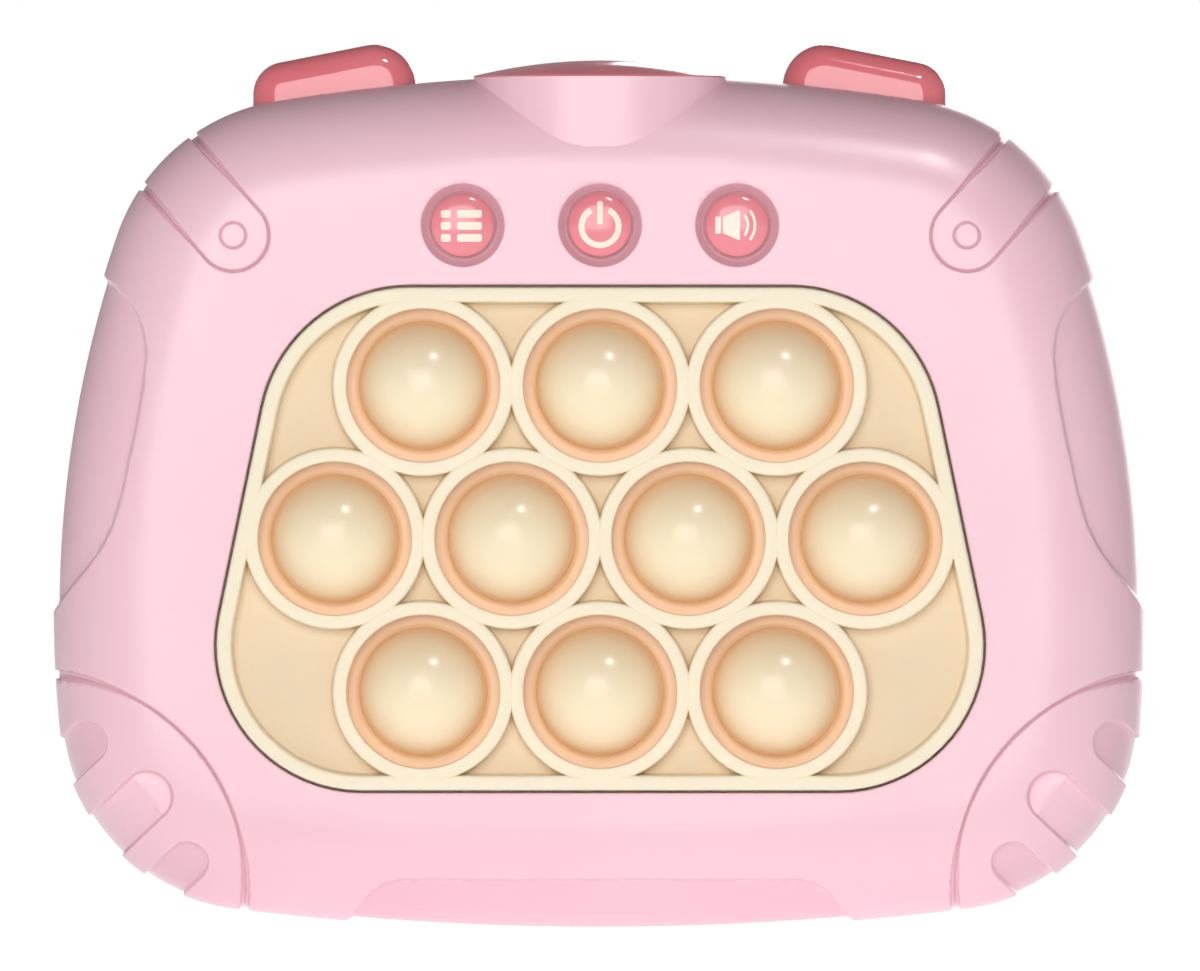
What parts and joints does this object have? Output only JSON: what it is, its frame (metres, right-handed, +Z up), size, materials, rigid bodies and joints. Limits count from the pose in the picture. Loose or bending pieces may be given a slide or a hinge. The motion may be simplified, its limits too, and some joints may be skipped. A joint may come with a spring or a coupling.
{
  "type": "electronic push bubble game",
  "caption": "Handheld electronic push-bubble game: soft lit bubbles in a mat, keys above them, two shoulder buttons and a light window on top, battery box in the back.",
  "frame": {"origin": "middle of the game on the surface that it stands on", "axes": "+X to the right as the player sees it, +Y from the bubbles to the back, +Z up"},
  "size_m": [0.155, 0.06, 0.1253],
  "materials": {
    "shell": "glossy moulded plastic, pale pink",
    "coral": "glossy tinted plastic that lets some light through, coral",
    "key": "glossy moulded plastic, coral, with cream icons",
    "silicone": "soft matte silicone that glows when lit, cream",
    "milky_plastic": "milky light-guiding plastic",
    "white_plastic": "satin moulded plastic, white",
    "board": "solder mask over glass laminate, green",
    "steel": "zinc plated steel",
    "nickel": "nickel plated spring steel",
    "cell": "satin sleeve over a steel can, plain dark grey",
    "foam": "closed foam, black",
    "cone": "pressed film, black",
    "black_lead": "wire insulation, black",
    "red_lead": "wire insulation, red"
  },
  "bodies": {
    "game": {"front_shell": "shell", "rear_shell": "shell", "silicone_mat": "silicone", "guide_plate": "white_plastic", "main_board": "board", "top_lens": "coral", "shell_screw_01": "steel", "shell_screw_02": "steel", "shell_screw_03": "steel", "shell_screw_04": "steel", "shell_screw_05": "steel", "shell_screw_06": "steel", "core_screw_01": "steel", "core_screw_02": "steel", "core_screw_03": "steel", "core_screw_04": "steel", "battery_cell_01": "cell", "battery_cell_02": "cell", "battery_cell_03": "cell", "contact_negative": "nickel", "contact_positive": "nickel", "contact_bridge_left": "nickel", "contact_bridge_right": "nickel", "speaker_gasket": "foam", "speaker_frame": "steel", "speaker_cone": "cone", "speaker_magnet": "steel", "battery_lead_black": "black_lead", "battery_lead_red": "red_lead", "speaker_lead_black": "black_lead", "speaker_lead_red": "red_lead"},
    "bubble_01": {"bubble_dome_01": "silicone", "bubble_plunger_01": "milky_plastic"},
    "bubble_02": {"bubble_dome_02": "silicone", "bubble_plunger_02": "milky_plastic"},
    "bubble_03": {"bubble_dome_03": "silicone", "bubble_plunger_03": "milky_plastic"},
    "bubble_04": {"bubble_dome_04": "silicone", "bubble_plunger_04": "milky_plastic"},
    "bubble_05": {"bubble_dome_05": "silicone", "bubble_plunger_05": "milky_plastic"},
    "bubble_06": {"bubble_dome_06": "silicone", "bubble_plunger_06": "milky_plastic"},
    "bubble_07": {"bubble_dome_07": "silicone", "bubble_plunger_07": "milky_plastic"},
    "bubble_08": {"bubble_dome_08": "silicone", "bubble_plunger_08": "milky_plastic"},
    "bubble_09": {"bubble_dome_09": "silicone", "bubble_plunger_09": "milky_plastic"},
    "bubble_10": {"bubble_dome_10": "silicone", "bubble_plunger_10": "milky_plastic"},
    "menu": {"menu_key": "key"},
    "power": {"power_key": "key"},
    "volume": {"volume_key": "key"},
    "shoulder_left": {"shoulder_button_left": "coral"},
    "shoulder_right": {"shoulder_button_right": "coral"},
    "battery_lid": {"battery_cover": "shell", "battery_cover_screw": "steel"}
  },
  "joints": [
    {"name": "bubble_01_press", "type": "slide", "parent": "game", "child": "bubble_01", "axis": [0, 1, 0], "range_m": [0, 0.003], "stiffness_N_per_m": 800},
    {"name": "bubble_02_press", "type": "slide", "parent": "game", "child": "bubble_02", "axis": [0, 1, 0], "range_m": [0, 0.003], "stiffness_N_per_m": 800},
    {"name": "bubble_03_press", "type": "slide", "parent": "game", "child": "bubble_03", "axis": [0, 1, 0], "range_m": [0, 0.003], "stiffness_N_per_m": 800},
    {"name": "bubble_04_press", "type": "slide", "parent": "game", "child": "bubble_04", "axis": [0, 1, 0], "range_m": [0, 0.003], "stiffness_N_per_m": 800},
    {"name": "bubble_05_press", "type": "slide", "parent": "game", "child": "bubble_05", "axis": [0, 1, 0], "range_m": [0, 0.003], "stiffness_N_per_m": 800},
    {"name": "bubble_06_press", "type": "slide", "parent": "game", "child": "bubble_06", "axis": [0, 1, 0], "range_m": [0, 0.003], "stiffness_N_per_m": 800},
    {"name": "bubble_07_press", "type": "slide", "parent": "game", "child": "bubble_07", "axis": [0, 1, 0], "range_m": [0, 0.003], "stiffness_N_per_m": 800},
    {"name": "bubble_08_press", "type": "slide", "parent": "game", "child": "bubble_08", "axis": [0, 1, 0], "range_m": [0, 0.003], "stiffness_N_per_m": 800},
    {"name": "bubble_09_press", "type": "slide", "parent": "game", "child": "bubble_09", "axis": [0, 1, 0], "range_m": [0, 0.003], "stiffness_N_per_m": 800},
    {"name": "bubble_10_press", "type": "slide", "parent": "game", "child": "bubble_10", "axis": [0, 1, 0], "range_m": [0, 0.003], "stiffness_N_per_m": 800},
    {"name": "menu_press", "type": "slide", "parent": "game", "child": "menu", "axis": [0, 1, 0], "range_m": [0, 0.001], "stiffness_N_per_m": 1500},
    {"name": "power_press", "type": "slide", "parent": "game", "child": "power", "axis": [0, 1, 0], "range_m": [0, 0.001], "stiffness_N_per_m": 1500},
    {"name": "volume_press", "type": "slide", "parent": "game", "child": "volume", "axis": [0, 1, 0], "range_m": [0, 0.001], "stiffness_N_per_m": 1500},
    {"name": "shoulder_left_press", "type": "slide", "parent": "game", "child": "shoulder_left", "axis": [0.134, 0, -0.991], "range_m": [0, 0.0015], "stiffness_N_per_m": 1500},
    {"name": "shoulder_right_press", "type": "slide", "parent": "game", "child": "shoulder_right", "axis": [-0.134, 0, -0.991], "range_m": [0, 0.0015], "stiffness_N_per_m": 1500},
    {"name": "battery_cover_off", "type": "slide", "parent": "game", "child": "battery_lid", "axis": [0, 1, 0], "range_m": [0, 0.02]}
  ]
}
